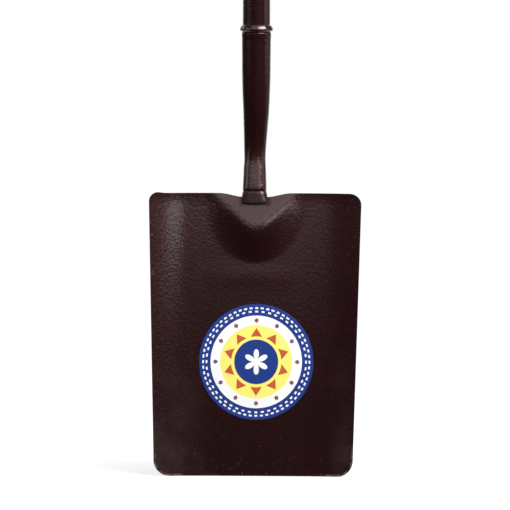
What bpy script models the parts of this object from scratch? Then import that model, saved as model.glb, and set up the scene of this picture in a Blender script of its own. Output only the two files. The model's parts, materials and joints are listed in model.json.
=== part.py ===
"""Taper mouth shovel, all steel: a forged pan and neck, a welded tube shaft and a welded D handle.

The shovel stands upright on its mouth. +Z runs up the shaft, the working face looks towards -Y,
+X is to the right of someone who looks at that face, and the origin is the middle of the mouth's edge.
"""

import itertools
import math

import bmesh
import bpy
from mathutils import Matrix

# Sizes are in metres and angles in radians.
CLEARANCE = 0.0003  # running gap between two pieces that touch on the real shovel

# Pan: a rolled plate with a straight mouth, nearly straight sides and a slight taper
PAN_LENGTH = 0.3205
SHOULDER_WIDTH = 0.2445
MOUTH_WIDTH = 0.2265
PLATE = 0.0022
PAN_TILT = math.radians(11.0)  # lift: the angle between the pan and the shaft
SHOULDER_CORNER = 0.0125
MOUTH_CORNER = 0.018
SHOULDER_DIP = 0.0048  # how far the shoulder drops beside the neck
DIP_INNER = 0.010
DIP_OUTER = 0.043

# Dish: the sides of the pan are raised towards the load, more at the shoulder than at the mouth
DISH_FLAT_SHARE = 0.42
SHOULDER_DISH = 0.014
MOUTH_DISH = 0.007
DISH_POWER = 2.1

# Boss: the thick tongue where the neck runs out on the working face
BOSS_HALF_WIDTH = 0.063
BOSS_LENGTH = 0.080  # from the shoulder to the foot
BOSS_PEAK = 0.0215  # height that the flanks would reach if the ramp did not cut them off
BOSS_FOOT_FILLET = 0.06  # shares of the boss: tight at the foot, wide at the sides
BOSS_SIDE_FILLET = 0.80
BOSS_CREST = 0.0100
BOSS_CREST_DROP = 0.041  # below the shoulder
BOSS_ROOT = 0.0010  # height of the ramp at the shoulder
BOSS_BLEND = 6.0

# Spine: the tail of the neck on the back of the pan
SPINE_LENGTH = 0.110
SPINE_DEPTH = 0.0215
SPINE_TOE_HALF_WIDTH = 0.010
SPINE_ROOT_HALF_WIDTH = 0.0270
SPINE_RISE = 1.5
SPINE_SHOULDER_ROUND = 0.014  # how soon the spine's flanks reach their depth below the shoulder

# Neck: solid, parallel to the pan at first and then bent in line with the shaft
NECK_AXIS_BEHIND_FACE = 0.0098
NECK_BEND_START = 0.017  # above the shoulder
NECK_BEND_LENGTH = 0.040
NECK_LENGTH = 0.1852  # from the shoulder to the seat of the tube
NECK_TOP_RADIUS = 0.0167
NECK_RIM_RADIUS = 0.0172
NECK_WAIST_RADIUS = 0.0124
NECK_COLLAR_RADIUS = 0.0136
NECK_GROOVE_RADIUS = 0.0125
NECK_FLANGE_HALF_WIDTH = 0.0170
NECK_FLANGE_FRONT = 0.0148  # ahead of the neck's axis
NECK_FLANGE_SQUARENESS = 3.5  # 2 is an ellipse
NECK_RIM_HEIGHT = 0.0035
NECK_RIM_CHAMFER = 0.0012
SPIGOT_LENGTH = 0.060
SPIGOT_CHAMFER = 0.002

# Shaft tube
TUBE_RADIUS = 0.015875
TUBE_WALL = 0.0016
OVERALL_LENGTH = 1.030

# Ring welds at the two ends of the shaft
RING_WELD_RADIUS = 0.0193
RING_WELD_HEIGHT = 0.0074
RING_WELD_TOE = 0.0010

# Handle: a Y of two pressed halves, welded along their seam, with a tube for the hand
YOKE_WALL = 0.0020
YOKE_SOCKET_RADIUS = 0.0190
YOKE_SOCKET_DEPTH = 0.055
YOKE_CROTCH_ABOVE_SOCKET = 0.022
HAND_WIDTH = 0.112
HAND_DEPTH = 0.086  # from the crotch to the underside of the grip
ARM_HALF_WIDTH = 0.0105
ARM_HALF_DEPTH = 0.0125
EYE_HALF_WIDTH = 0.0080
EYE_RADIUS = 0.0205
GRIP_RADIUS = 0.0143
GRIP_WALL = 0.0016
GRIP_WELD_LEG = 0.0028
SEAM_WELD_WIDTH = 0.0034
SEAM_WELD_HEIGHT = 0.0007
SEAM_GAP = 0.0003

# Label: a thin round sticker on the working face
LABEL_RADIUS = 0.0678
LABEL_THICKNESS = 0.0003
LABEL_HEIGHT = 0.127
LABEL_OFFSET = 0.0025

# Facets
ROUND_SEGMENTS = 36
NECK_SEGMENTS = 36
LABEL_SEGMENTS = 56
LABEL_RINGS = 5
PAN_COLUMNS_IN_BOSS = 24
PAN_COLUMNS_IN_DISH = 5
PAN_COLUMNS_IN_CORNER = 5
PAN_ROWS_IN_BOSS = 15
PAN_ROWS_AT_SHOULDER = 4
PAN_ROWS_BELOW = 8
YOKE_LEVELS = 2

PAINT = (0.036, 0.0135, 0.0165, 1.0)
LABEL_COLOUR = (0.85, 0.86, 0.84, 1.0)


def mix(start, end, share):
    return start + (end - start) * share


def smoothstep(start, end, value):
    share = min(1.0, max(0.0, (value - start) / (end - start)))
    return share * share * (3.0 - 2.0 * share)


def soft_min(first, second):
    """The smaller of two heights, rounded off where they cross, and nothing where either is nothing."""
    if first <= 0.0 or second <= 0.0:
        return 0.0
    return (first**-BOSS_BLEND + second**-BOSS_BLEND) ** (-1.0 / BOSS_BLEND)


def principled(name, colour, roughness, metallic):
    material = bpy.data.materials.new(name)
    material.use_nodes = True
    shader = material.node_tree.nodes["Principled BSDF"]
    shader.inputs["Base Color"].default_value = colour
    shader.inputs["Roughness"].default_value = roughness
    shader.inputs["Metallic"].default_value = metallic
    return material


def add_object(name, mesh_data, material=None):
    piece = bpy.data.objects.new(name, mesh_data)
    bpy.context.scene.collection.objects.link(piece)
    if material:
        mesh_data.materials.append(material)
    mesh_data.shade_smooth()
    mesh_data.set_sharp_from_angle(angle=math.radians(40.0))
    return piece


def mesh_from(name, shape):
    """Turn a bmesh into a mesh with its faces pointing out."""
    bmesh.ops.recalc_face_normals(shape, faces=shape.faces)
    mesh_data = bpy.data.meshes.new(name)
    shape.to_mesh(mesh_data)
    shape.free()
    return mesh_data


def make_cutter(name, mesh_data):
    cutter = add_object(name, mesh_data)
    cutter.hide_render = True
    cutter.display_type = "WIRE"
    return cutter


def boolean(piece, operation, other):
    modifier = piece.modifiers.new(f"{operation.lower()} {other.name}", "BOOLEAN")
    modifier.operation = operation
    modifier.object = other
    modifier.solver = "EXACT"


def subdivide(piece, levels):
    modifier = piece.modifiers.new("round", "SUBSURF")
    modifier.levels = levels
    modifier.render_levels = levels


def loft(shape, rings, cap_ends=True):
    """Skin a list of closed rings of points, each with as many points as the next."""
    rows = [[shape.verts.new(point) for point in ring] for ring in rings]
    for lower, upper in itertools.pairwise(rows):
        count = len(lower)
        for index in range(count):
            after = (index + 1) % count
            shape.faces.new((lower[index], lower[after], upper[after], upper[index]))
    if cap_ends:
        shape.faces.new(list(reversed(rows[0])))
        shape.faces.new(rows[-1])
    return rows


def turned(name, profile, segments, axis_y=0.0):
    """Revolve a closed profile of (radius, height) points about an upright axis at x = 0, y = axis_y."""
    shape = bmesh.new()
    rings = []
    for index in range(segments):
        angle = 2.0 * math.pi * index / segments
        ring = [(r * math.cos(angle), axis_y + r * math.sin(angle), z) for r, z in profile]
        rings.append(ring)
    loft(shape, rings + rings[:1], cap_ends=False)
    bmesh.ops.remove_doubles(shape, verts=shape.verts, dist=0.00001)
    return mesh_from(name, shape)


def box(name, low, high):
    shape = bmesh.new()
    bmesh.ops.create_cube(shape, size=1.0)
    size = [b - a for a, b in zip(low, high)]
    centre = [(a + b) / 2.0 for a, b in zip(low, high)]
    bmesh.ops.scale(shape, vec=size, verts=shape.verts)
    bmesh.ops.translate(shape, vec=centre, verts=shape.verts)
    return mesh_from(name, shape)


# Pan surfaces

def half_width(z):
    return mix(MOUTH_WIDTH, SHOULDER_WIDTH, z / PAN_LENGTH) / 2.0


def pan_plane(z):
    """The flat middle of the working face. The mouth's end face is centred on the origin."""
    return z * math.tan(PAN_TILT) - PLATE / math.cos(PAN_TILT) / 2.0


def shoulder_z(x):
    return PAN_LENGTH - SHOULDER_DIP * (1.0 - smoothstep(DIP_INNER, DIP_OUTER, abs(x)))


def dish(x, z):
    """How far the pan's side stands forward of its flat middle."""
    share = max(0.0, (abs(x) / half_width(z) - DISH_FLAT_SHARE) / (1.0 - DISH_FLAT_SHARE))
    return mix(MOUTH_DISH, SHOULDER_DISH, z / PAN_LENGTH) * share**DISH_POWER


def boss(x, z):
    """How far the tongue stands forward of the pan: a round flank cut by a ramp that falls to the neck."""
    across = x / BOSS_HALF_WIDTH
    down = (PAN_LENGTH - z) / BOSS_LENGTH
    reach = math.hypot(across, down)
    if reach >= 1.0:
        return 0.0
    inside = 1.0 - reach
    sideways = abs(across) / max(reach, 0.001)
    fillet = mix(BOSS_FOOT_FILLET, BOSS_SIDE_FILLET, sideways * sideways)
    flank = BOSS_PEAK * inside * inside / (inside + fillet)
    ramp = mix(BOSS_ROOT, BOSS_CREST, (PAN_LENGTH - z) / BOSS_CREST_DROP)
    return soft_min(flank, ramp)


def spine(x, z):
    """How far the neck's tail stands behind the back of the plate."""
    toe = PAN_LENGTH - SPINE_LENGTH
    if z <= toe:
        return 0.0
    share = (z - toe) / SPINE_LENGTH
    across = x / mix(SPINE_TOE_HALF_WIDTH, SPINE_ROOT_HALF_WIDTH, share)
    if abs(across) >= 1.0:
        return 0.0
    depth = SPINE_DEPTH * share**SPINE_RISE * (1.0 - across * across) ** 1.5
    short = 1.0 - min(1.0, max(0.0, (shoulder_z(x) - z) / SPINE_SHOULDER_ROUND))
    beside_neck = smoothstep(NECK_COLLAR_RADIUS * 0.6, NECK_COLLAR_RADIUS * 1.1, abs(x))
    return depth * mix(1.0, math.sqrt(1.0 - short * short), beside_neck)


def face_y(x, z):
    """The working face of the pan."""
    return pan_plane(z) - dish(x, z) - boss(x, z)


def back_y(x, z):
    """The back of the pan."""
    return pan_plane(z) - dish(x, z) + PLATE / math.cos(PAN_TILT) + spine(x, z)


def corner_inset(from_side, radius):
    """How far a rounded corner draws the end edge in, at a distance from the side edge."""
    reach = max(0.0, radius - from_side)
    return radius - math.sqrt(radius * radius - reach * reach)


def pan_columns():
    """Column places from edge to edge, as shares of the half width: fine in the corners and on the boss."""
    corner = MOUTH_CORNER / (MOUTH_WIDTH / 2.0)
    boss_edge = BOSS_HALF_WIDTH / (SHOULDER_WIDTH / 2.0)
    half = [boss_edge * i / (PAN_COLUMNS_IN_BOSS / 2) for i in range(PAN_COLUMNS_IN_BOSS // 2)]
    half += [mix(boss_edge, 1.0 - corner, i / PAN_COLUMNS_IN_DISH) for i in range(PAN_COLUMNS_IN_DISH)]
    for i in range(PAN_COLUMNS_IN_CORNER + 1):
        half.append(1.0 - corner * (1.0 - math.sin(math.pi / 2.0 * i / PAN_COLUMNS_IN_CORNER)))
    return [-share for share in reversed(half[1:])] + half


def pan_rows():
    """Row places from the mouth to the shoulder, as shares of the length: fine on the boss."""
    boss_foot = 1.0 - BOSS_LENGTH / PAN_LENGTH
    round_foot = 1.0 - SPINE_SHOULDER_ROUND / PAN_LENGTH
    rows = [boss_foot * i / PAN_ROWS_BELOW for i in range(PAN_ROWS_BELOW)]
    rows += [mix(boss_foot, round_foot, i / PAN_ROWS_IN_BOSS) for i in range(PAN_ROWS_IN_BOSS)]
    for i in range(PAN_ROWS_AT_SHOULDER + 1):
        rows.append(mix(round_foot, 1.0, math.sin(math.pi / 2.0 * i / PAN_ROWS_AT_SHOULDER)))
    return rows


def pan_mesh():
    shape = bmesh.new()
    rows = pan_rows()
    fronts, backs = [], []
    for share in pan_columns():
        from_side = (1.0 - abs(share)) * MOUTH_WIDTH / 2.0
        low = corner_inset(from_side, MOUTH_CORNER)
        high = shoulder_z(share * SHOULDER_WIDTH / 2.0) - corner_inset(from_side, SHOULDER_CORNER)
        places = []
        for row in rows:
            z = mix(low, high, row)
            places.append((share * half_width(z), z))
        fronts.append([shape.verts.new((x, face_y(x, z), z)) for x, z in places])
        backs.append([shape.verts.new((x, back_y(x, z), z)) for x, z in places])
    for skin in (fronts, backs):
        for left, right in itertools.pairwise(skin):
            for i in range(len(rows) - 1):
                shape.faces.new((left[i], right[i], right[i + 1], left[i + 1]))
    for end in (0, -1):
        for i in range(len(fronts) - 1):
            shape.faces.new((fronts[i][end], fronts[i + 1][end], backs[i + 1][end], backs[i][end]))
        for i in range(len(rows) - 1):
            shape.faces.new((fronts[end][i], fronts[end][i + 1], backs[end][i + 1], backs[end][i]))
    return mesh_from("pan", shape)


# Neck

def neck_axis_y(z):
    """The neck's axis runs parallel to the pan, then bends over a short length to run upright."""
    bend_start = PAN_LENGTH + NECK_BEND_START
    share = min(1.0, max(0.0, (z - bend_start) / NECK_BEND_LENGTH))
    bent = NECK_BEND_LENGTH * (share - share**3 / 3.0)
    return pan_plane(min(z, bend_start) + bent) + NECK_AXIS_BEHIND_FACE


SEAT_Z = PAN_LENGTH + NECK_LENGTH
SHAFT_Y = neck_axis_y(SEAT_Z)


def neck_root_stations():
    """The flange that ends the neck: height above the shoulder, half width, depth in front and behind,
    and how much of the flange's squareness the front has there.
    """
    wide, front, behind = NECK_FLANGE_HALF_WIDTH, NECK_FLANGE_FRONT, NECK_COLLAR_RADIUS
    return [
        (-0.0175, wide * 0.48, front * 0.30, behind * 0.45, 0.0),
        (-0.0150, wide * 0.68, front * 0.68, behind * 0.66, 0.0),
        (-0.0132, wide * 0.82, front * 0.885, behind * 0.80, 0.4),
        (-0.0112, wide * 0.93, front * 0.955, behind * 0.88, 0.7),
        (-0.0085, wide * 0.99, front * 0.975, behind * 0.94, 1.0),
        (-0.0050, wide, front, behind * 0.98, 1.0),
        (-0.0022, wide * 0.84, front * 0.965, behind * 0.98, 0.7),
        (0.0006, wide * 0.77, front * 0.90, behind * 0.97, 0.3),
    ]


def neck_round_stations():
    """The round part of the neck and the spigot: height above the shoulder and radius."""
    groove, collar, waist, top = NECK_GROOVE_RADIUS, NECK_COLLAR_RADIUS, NECK_WAIST_RADIUS, NECK_TOP_RADIUS
    spigot = TUBE_RADIUS - TUBE_WALL - CLEARANCE
    stations = [
        (0.0022, groove),
        (0.0055, mix(groove, collar, 0.8)),
        (0.0090, collar),
        (0.0150, mix(waist, collar, 0.75)),
        (0.0270, mix(waist, collar, 0.40)),
    ]
    low, high = NECK_LENGTH * 0.21, NECK_LENGTH * 0.82
    steps = 8
    for i in range(steps + 1):
        swell = math.sin(i / steps * math.pi / 2.0) ** 1.3
        stations.append((mix(low, high, i / steps), mix(waist, top, swell)))
    return stations + [
        (NECK_LENGTH - NECK_RIM_HEIGHT * 3.0, mix(top, NECK_RIM_RADIUS, 0.35)),
        (NECK_LENGTH - NECK_RIM_HEIGHT * 1.6, mix(top, NECK_RIM_RADIUS, 0.80)),
        (NECK_LENGTH - NECK_RIM_HEIGHT * 0.6, NECK_RIM_RADIUS),
        (NECK_LENGTH, NECK_RIM_RADIUS - NECK_RIM_CHAMFER),
        (NECK_LENGTH, spigot),
        (NECK_LENGTH + SPIGOT_LENGTH - SPIGOT_CHAMFER, spigot),
        (NECK_LENGTH + SPIGOT_LENGTH, spigot - SPIGOT_CHAMFER),
    ]


def neck_mesh():
    stations = neck_root_stations()
    stations += [(above, radius, radius, radius, 0.0) for above, radius in neck_round_stations()]
    rings = []
    for above, wide, front, behind, square in stations:
        z = PAN_LENGTH + above
        power = mix(1.0, 2.0 / NECK_FLANGE_SQUARENESS, square)
        ring = []
        for i in range(NECK_SEGMENTS):
            angle = 2.0 * math.pi * i / NECK_SEGMENTS
            across, deep = math.cos(angle), math.sin(angle)
            if deep < 0.0:
                x = wide * math.copysign(abs(across) ** power, across)
                y = -front * abs(deep) ** power
            else:
                x = mix(wide, min(wide, behind), deep) * across
                y = behind * deep
            ring.append((x, neck_axis_y(z) + y, z))
        rings.append(ring)
    shape = bmesh.new()
    loft(shape, rings)
    return mesh_from("neck", shape)


def make_head(paint):
    head = add_object("forged_head", pan_mesh(), paint)
    boolean(head, "UNION", make_cutter("neck_form", neck_mesh()))


# Shaft

YOKE_TOP = OVERALL_LENGTH
GRIP_Z = YOKE_TOP - EYE_RADIUS
CROTCH_Z = GRIP_Z - GRIP_RADIUS - HAND_DEPTH
SOCKET_END_Z = CROTCH_Z - YOKE_CROTCH_ABOVE_SOCKET
YOKE_BOTTOM = SOCKET_END_Z - YOKE_SOCKET_DEPTH


def tube_profile(outer, wall, low, high):
    return [(outer - wall, low), (outer, low), (outer, high), (outer - wall, high)]


def make_shaft(paint):
    profile = tube_profile(TUBE_RADIUS, TUBE_WALL, SEAT_Z + CLEARANCE, SOCKET_END_Z)
    add_object("shaft_tube", turned("shaft_tube", profile, ROUND_SEGMENTS, SHAFT_Y), paint)


def ring_weld_profile(low):
    """A round bead whose flat inner side lies against the tube."""
    inner = TUBE_RADIUS + CLEARANCE
    toe = inner + RING_WELD_TOE
    steps = 5
    profile = [(inner, low + RING_WELD_HEIGHT), (inner, low)]
    for i in range(steps + 1):
        angle = math.pi * i / steps
        radius = toe + (RING_WELD_RADIUS - toe) * math.sin(angle)
        profile.append((radius, low + RING_WELD_HEIGHT * (1.0 - math.cos(angle)) / 2.0))
    return profile


def make_ring_welds(paint):
    lows = {
        "socket_weld": SEAT_Z + CLEARANCE,
        "yoke_weld": YOKE_BOTTOM - CLEARANCE - RING_WELD_HEIGHT,
    }
    for name, low in lows.items():
        add_object(name, turned(name, ring_weld_profile(low), ROUND_SEGMENTS, SHAFT_Y), paint)


# Handle

# A smoothed ring shrinks from its control points: these shares undo that for rings of 8 and of 6 points
RING_OF_8 = (2.0 + math.cos(math.radians(45.0))) / 3.0
RING_OF_6 = (2.0 + math.cos(math.radians(60.0))) / 3.0


def arm_stations():
    """Centre line of the right arm: x, z, outward lean, half width in the plane of the Y, half depth."""
    eye_x = HAND_WIDTH / 2.0 + EYE_HALF_WIDTH
    wide, deep = ARM_HALF_WIDTH, ARM_HALF_DEPTH
    return [
        (0.027, CROTCH_Z - 0.001, math.radians(55.0), wide + 0.0010, deep + 0.0015),
        (eye_x - 0.016, CROTCH_Z + 0.018, math.radians(39.0), wide, deep),
        (eye_x - 0.003, CROTCH_Z + 0.048, math.radians(12.0), wide - 0.0010, deep + 0.0010),
        (eye_x, GRIP_Z - EYE_RADIUS, 0.0, EYE_HALF_WIDTH, EYE_RADIUS - 0.0015),
        (eye_x, GRIP_Z, 0.0, EYE_HALF_WIDTH, EYE_RADIUS),
        (eye_x, GRIP_Z + EYE_RADIUS * 0.72, 0.0, EYE_HALF_WIDTH, EYE_RADIUS * 0.80),
        (eye_x, YOKE_TOP, 0.0, EYE_HALF_WIDTH * 0.75, EYE_RADIUS * 0.45),
    ]


def arm_ring(station, side, grow):
    x, z, lean, wide, deep = station
    if z >= YOKE_TOP:
        z += grow
    wide = (wide + grow) / RING_OF_6
    deep = (deep + grow) / RING_OF_6
    ring = []
    for step in range(6):
        angle = math.radians(60.0 * step)
        out = wide * math.cos(angle)
        out_x, out_z = out * math.cos(lean), -out * math.sin(lean)
        ring.append((side * (x + out_x), SHAFT_Y + deep * math.sin(angle), z + out_z))
    return ring


def stem_ring(z, wide, deep, grow):
    wide = (wide + grow) / RING_OF_8
    deep = (deep + grow) / RING_OF_8
    ring = []
    for step in range(8):
        angle = math.radians(45.0 * step)
        ring.append((wide * math.cos(angle), SHAFT_Y + deep * math.sin(angle), z))
    return ring


def yoke_cage(name, grow):
    """Control cage of the Y: a stem of 8-point rings that forks into two arms of 6-point rings."""
    shape = bmesh.new()
    stem = [
        stem_ring(YOKE_BOTTOM - 0.020, YOKE_SOCKET_RADIUS, YOKE_SOCKET_RADIUS, grow),
        stem_ring(YOKE_BOTTOM + 0.010, YOKE_SOCKET_RADIUS, YOKE_SOCKET_RADIUS, grow),
        stem_ring(YOKE_BOTTOM + 0.040, YOKE_SOCKET_RADIUS, YOKE_SOCKET_RADIUS, grow),
        stem_ring(CROTCH_Z - 0.029, YOKE_SOCKET_RADIUS + 0.003, YOKE_SOCKET_RADIUS - 0.001, grow),
        stem_ring(CROTCH_Z - 0.017, YOKE_SOCKET_RADIUS + 0.010, YOKE_SOCKET_RADIUS - 0.003, grow),
    ]
    rows = loft(shape, stem, cap_ends=False)
    shape.faces.new(list(reversed(rows[0])))
    fork = rows[-1]
    saddle = shape.verts.new((0.0, SHAFT_Y, CROTCH_Z + 0.003 + grow))
    for side, shared in ((1, (0, 1, 2, 6, 7)), (-1, (4, 3, 2, 6, 5))):
        rings = [arm_ring(station, side, grow) for station in arm_stations()]
        arm = loft(shape, rings, cap_ends=False)
        tip = arm[-1]
        shape.faces.new((tip[0], tip[1], tip[2], tip[3]))
        shape.faces.new((tip[3], tip[4], tip[5], tip[0]))
        outer, back_out, back_mid, front_mid, front_out = (fork[i] for i in shared)
        first = arm[0]
        shape.faces.new((outer, back_out, first[1], first[0]))
        shape.faces.new((back_out, back_mid, first[2], first[1]))
        shape.faces.new((back_mid, saddle, first[3], first[2]))
        shape.faces.new((saddle, front_mid, first[4], first[3]))
        shape.faces.new((front_mid, front_out, first[5], first[4]))
        shape.faces.new((front_out, outer, first[0], first[5]))
    return mesh_from(name, shape)


def make_yoke(paint):
    hollow = make_cutter("yoke_hollow", yoke_cage("yoke_hollow", -YOKE_WALL))
    subdivide(hollow, 1)
    bore_profile = [(0.0, YOKE_BOTTOM - 0.03), (TUBE_RADIUS + CLEARANCE, YOKE_BOTTOM - 0.03)]
    bore_profile += [(TUBE_RADIUS + CLEARANCE, SOCKET_END_Z + CLEARANCE), (0.0, SOCKET_END_Z + CLEARANCE)]
    bore = make_cutter("yoke_bore", turned("yoke_bore", bore_profile, ROUND_SEGMENTS, SHAFT_Y))
    reach = 0.2
    halves = {"yoke_front_shell": -1.0, "yoke_back_shell": 1.0}
    for name, side in halves.items():
        near = SHAFT_Y + side * SEAM_GAP / 2.0
        far = SHAFT_Y + side * reach
        low = (-reach, min(near, far), YOKE_BOTTOM)
        high = (reach, max(near, far), YOKE_TOP + reach)
        shell = add_object(name, yoke_cage(name, 0.0), paint)
        subdivide(shell, YOKE_LEVELS)
        boolean(shell, "DIFFERENCE", hollow)
        boolean(shell, "DIFFERENCE", bore)
        boolean(shell, "INTERSECT", make_cutter(f"{name}_half", box(f"{name}_half", low, high)))


def seam_line():
    """The right half of the Y's outline in its seam plane, from the crotch over the eye to the socket."""
    form = make_cutter("seam_form", yoke_cage("seam_form", 0.0))
    subdivide(form, YOKE_LEVELS)
    smooth = form.evaluated_get(bpy.context.evaluated_depsgraph_get()).to_mesh()
    on_seam = {v.index: (v.co.x, v.co.z) for v in smooth.vertices if abs(v.co.y - SHAFT_Y) < 0.00001}
    neighbours = {index: [] for index in on_seam}
    for edge in smooth.edges:
        a, b = edge.vertices
        if a in on_seam and b in on_seam:
            neighbours[a].append(b)
            neighbours[b].append(a)
    middle = [index for index, (x, _) in on_seam.items() if abs(x) < 0.00001]
    here = max(middle, key=lambda index: on_seam[index][1])
    step = max(neighbours[here], key=lambda index: on_seam[index][0])
    line = [on_seam[here]]
    while on_seam[step][1] > YOKE_BOTTOM:
        line.append(on_seam[step])
        following = [index for index in neighbours[step] if index != here]
        here, step = step, following[0]
    line.append((line[-1][0], YOKE_BOTTOM))
    return line


def bead_along(name, line, paint):
    """Lay a low flat bead on the seam plane, just clear of the line that it follows."""
    half = SEAM_WELD_WIDTH / 2.0
    section = [(-half, 0.0), (half, 0.0), (half * 0.7, SEAM_WELD_HEIGHT), (-half * 0.7, SEAM_WELD_HEIGHT)]
    rings = []
    for i, (x, z) in enumerate(line):
        before, after = line[max(0, i - 1)], line[min(len(line) - 1, i + 1)]
        run_x, run_z = after[0] - before[0], after[1] - before[1]
        length = math.hypot(run_x, run_z)
        out_x, out_z = -run_z / length, run_x / length
        ring = []
        for across, high in section:
            lift = high + CLEARANCE
            ring.append((x + out_x * lift, SHAFT_Y + across, z + out_z * lift))
        rings.append(ring)
    shape = bmesh.new()
    loft(shape, rings)
    add_object(name, mesh_from(name, shape), paint)


def make_seam_welds(paint):
    line = seam_line()
    around_grip = GRIP_RADIUS + GRIP_WELD_LEG + 2.0 * CLEARANCE
    top = max(range(len(line)), key=lambda i: line[i][1])
    below_grip = [point for point in line[:top] if point[1] < GRIP_Z - around_grip]
    above_grip = [point for point in line[:top] if point[1] > GRIP_Z + around_grip]
    outer = above_grip + line[top:]
    crotch = [(-x, z) for x, z in reversed(below_grip[1:])] + below_grip
    bead_along("yoke_crotch_weld", crotch, paint)
    bead_along("yoke_seam_weld_right", outer, paint)
    bead_along("yoke_seam_weld_left", [(-x, z) for x, z in reversed(outer)], paint)


def lie_across(mesh_data):
    """Turn a piece made about the Z axis so that it lies along X at the grip."""
    turn = Matrix.Rotation(math.radians(90.0), 4, "Y")
    mesh_data.transform(Matrix.Translation((0.0, SHAFT_Y, GRIP_Z)) @ turn)
    return mesh_data


def make_grip(paint):
    eye_x = HAND_WIDTH / 2.0 + EYE_HALF_WIDTH
    eyes = make_cutter("grip_ends", yoke_cage("grip_ends", CLEARANCE))
    subdivide(eyes, YOKE_LEVELS)
    profile = tube_profile(GRIP_RADIUS, GRIP_WALL, -eye_x, eye_x)
    grip = add_object("grip_tube", lie_across(turned("grip_tube", profile, ROUND_SEGMENTS)), paint)
    boolean(grip, "DIFFERENCE", eyes)
    inner = GRIP_RADIUS + CLEARANCE
    for name, side in {"grip_weld_left": -1.0, "grip_weld_right": 1.0}.items():
        near = side * (HAND_WIDTH / 2.0 - GRIP_WELD_LEG)
        seat = side * (HAND_WIDTH / 2.0 + EYE_HALF_WIDTH / 2.0)
        profile = [(inner, seat), (inner, near), (inner + 0.0008, near)]
        for i in range(1, 4):
            angle = math.radians(90.0) * i / 3
            radius = inner + GRIP_WELD_LEG * math.sin(angle)
            profile.append((radius, near + side * GRIP_WELD_LEG * (1.0 - math.cos(angle))))
        profile.append((inner + GRIP_WELD_LEG, seat))
        weld = add_object(name, lie_across(turned(name, profile, ROUND_SEGMENTS)), paint)
        boolean(weld, "DIFFERENCE", eyes)


# Label

def make_label(paper):
    shape = bmesh.new()
    skins = []
    for lift in (CLEARANCE + LABEL_THICKNESS, CLEARANCE):
        centre = shape.verts.new((LABEL_OFFSET, face_y(LABEL_OFFSET, LABEL_HEIGHT) - lift, LABEL_HEIGHT))
        rings = []
        for ring in range(1, LABEL_RINGS + 1):
            radius = LABEL_RADIUS * ring / LABEL_RINGS
            row = []
            for i in range(LABEL_SEGMENTS):
                angle = 2.0 * math.pi * i / LABEL_SEGMENTS
                x = LABEL_OFFSET + radius * math.cos(angle)
                z = LABEL_HEIGHT + radius * math.sin(angle)
                row.append(shape.verts.new((x, face_y(x, z) - lift, z)))
            rings.append(row)
        for i in range(LABEL_SEGMENTS):
            after = (i + 1) % LABEL_SEGMENTS
            shape.faces.new((centre, rings[0][i], rings[0][after]))
            for inner, outer in itertools.pairwise(rings):
                shape.faces.new((inner[i], outer[i], outer[after], inner[after]))
        skins.append(rings[-1])
    front, back = skins
    for i in range(LABEL_SEGMENTS):
        after = (i + 1) % LABEL_SEGMENTS
        shape.faces.new((front[i], front[after], back[after], back[i]))
    add_object("label", mesh_from("label", shape), paper)


def main():
    for old in list(bpy.data.objects):
        bpy.data.objects.remove(old, do_unlink=True)
    paint = principled("maroon_paint", PAINT, 0.35, 0.0)
    paper = principled("label_face", LABEL_COLOUR, 0.35, 0.0)
    make_head(paint)
    make_shaft(paint)
    make_ring_welds(paint)
    make_yoke(paint)
    make_seam_welds(paint)
    make_grip(paint)
    make_label(paper)


main()
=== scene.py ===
"""Looks of the taper mouth shovel: finer surfaces, worn maroon paint and a generic round sticker."""
import itertools
import json
import math

import bmesh
import bpy
from mathutils import Matrix, Vector, noise

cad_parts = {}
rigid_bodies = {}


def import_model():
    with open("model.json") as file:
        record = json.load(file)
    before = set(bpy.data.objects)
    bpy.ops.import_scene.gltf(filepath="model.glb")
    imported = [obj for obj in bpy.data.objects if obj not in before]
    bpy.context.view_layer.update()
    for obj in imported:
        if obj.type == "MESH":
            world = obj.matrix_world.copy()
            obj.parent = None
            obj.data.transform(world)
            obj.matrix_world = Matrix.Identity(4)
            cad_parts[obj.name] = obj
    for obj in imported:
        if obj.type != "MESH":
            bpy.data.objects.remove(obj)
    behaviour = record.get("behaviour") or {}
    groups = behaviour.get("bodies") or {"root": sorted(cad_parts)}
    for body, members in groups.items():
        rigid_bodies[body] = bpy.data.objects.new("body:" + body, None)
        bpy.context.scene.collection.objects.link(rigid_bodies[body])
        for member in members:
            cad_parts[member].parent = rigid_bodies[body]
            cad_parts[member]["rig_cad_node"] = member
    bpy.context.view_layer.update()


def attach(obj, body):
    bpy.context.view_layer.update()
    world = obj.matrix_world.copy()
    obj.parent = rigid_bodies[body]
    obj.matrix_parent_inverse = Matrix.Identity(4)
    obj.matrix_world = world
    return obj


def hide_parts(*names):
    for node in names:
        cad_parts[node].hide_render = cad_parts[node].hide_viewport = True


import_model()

# Sizes in metres and angles in radians, most of them those of the CAD source
CLEARANCE = 0.0003

PAN_LENGTH = 0.3205
SHOULDER_WIDTH = 0.2445
MOUTH_WIDTH = 0.2265
PLATE = 0.0022
PAN_TILT = math.radians(11.0)
SHOULDER_CORNER = 0.0125
DENTED_CORNER = 0.0085
WIDEST_Z = PAN_LENGTH - SHOULDER_CORNER * 1.02
LIP_RISE = 0.0010
LIP_PLACE = 0.1130
LIP_REACH = 0.0065
MOUTH_CORNER = 0.018
SHOULDER_DIP = 0.0048
DIP_INNER = 0.010
DIP_OUTER = 0.043

DISH_FLAT_SHARE = 0.42
SHOULDER_DISH = 0.014
MOUTH_DISH = 0.00699
DISH_POWER = 2.1

SWELL = 0.0003
SWELL_HALF_WIDTH = 0.075
SWELL_HEIGHT = 0.226
SWELL_REACH = 0.011

CURL_REACH = 0.0005
CURL_HEIGHT = 0.014
CURL_INNER = 0.034
CURL_OUTER = 0.048

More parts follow.
